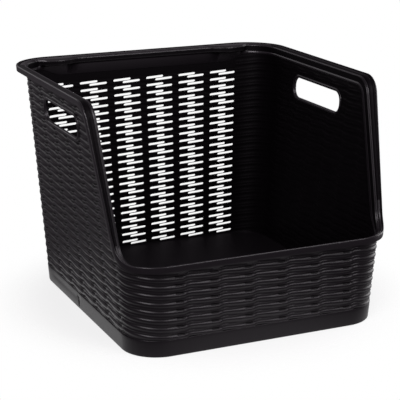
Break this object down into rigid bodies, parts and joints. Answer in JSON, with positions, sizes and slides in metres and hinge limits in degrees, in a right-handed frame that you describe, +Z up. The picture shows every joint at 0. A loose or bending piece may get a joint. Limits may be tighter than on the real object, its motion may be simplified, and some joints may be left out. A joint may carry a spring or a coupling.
{
  "type": "storage basket",
  "caption": "Open-front stacking basket with woven-look walls, a slitted back, hand holes in the sides, a raised floor and a turned-down rim; holds goods on a shelf.",
  "frame": {"origin": "under the middle of the basket's whole plan, on the plane it stands on", "axes": "+X to the right seen from the open front, +Y to the slitted back, +Z up"},
  "size_m": [0.348, 0.3544, 0.262],
  "materials": {
    "woven_plastic": "satin",
    "rim_plastic": "satin",
    "skirt_plastic": "satin",
    "smooth_floor": "satin"
  },
  "bodies": {
    "root": {"back_wall": "woven_plastic", "floor_panel": "smooth_floor", "front_left_corner": "woven_plastic", "front_right_corner": "woven_plastic", "front_wall": "woven_plastic", "left_hand_hold": "rim_plastic", "left_wall": "woven_plastic", "rear_left_corner": "woven_plastic", "rear_left_shelf": "rim_plastic", "rear_right_corner": "woven_plastic", "rear_right_shelf": "rim_plastic", "right_hand_hold": "rim_plastic", "right_wall": "woven_plastic", "rim_back": "rim_plastic", "rim_left_foot": "rim_plastic", "rim_left_front_edge": "rim_plastic", "rim_left_rear_corner": "rim_plastic", "rim_left_shoulder": "rim_plastic", "rim_left_top": "rim_plastic", "rim_right_foot": "rim_plastic", "rim_right_front_edge": "rim_plastic", "rim_right_rear_corner": "rim_plastic", "rim_right_shoulder": "rim_plastic", "rim_right_top": "rim_plastic", "rim_sill": "rim_plastic", "skirt_front": "skirt_plastic", "skirt_front_left_corner": "skirt_plastic", "skirt_front_right_corner": "skirt_plastic", "skirt_left": "skirt_plastic", "skirt_rear": "skirt_plastic", "skirt_rear_left_corner": "skirt_plastic", "skirt_rear_right_corner": "skirt_plastic", "skirt_right": "skirt_plastic"}
  },
  "joints": []
}
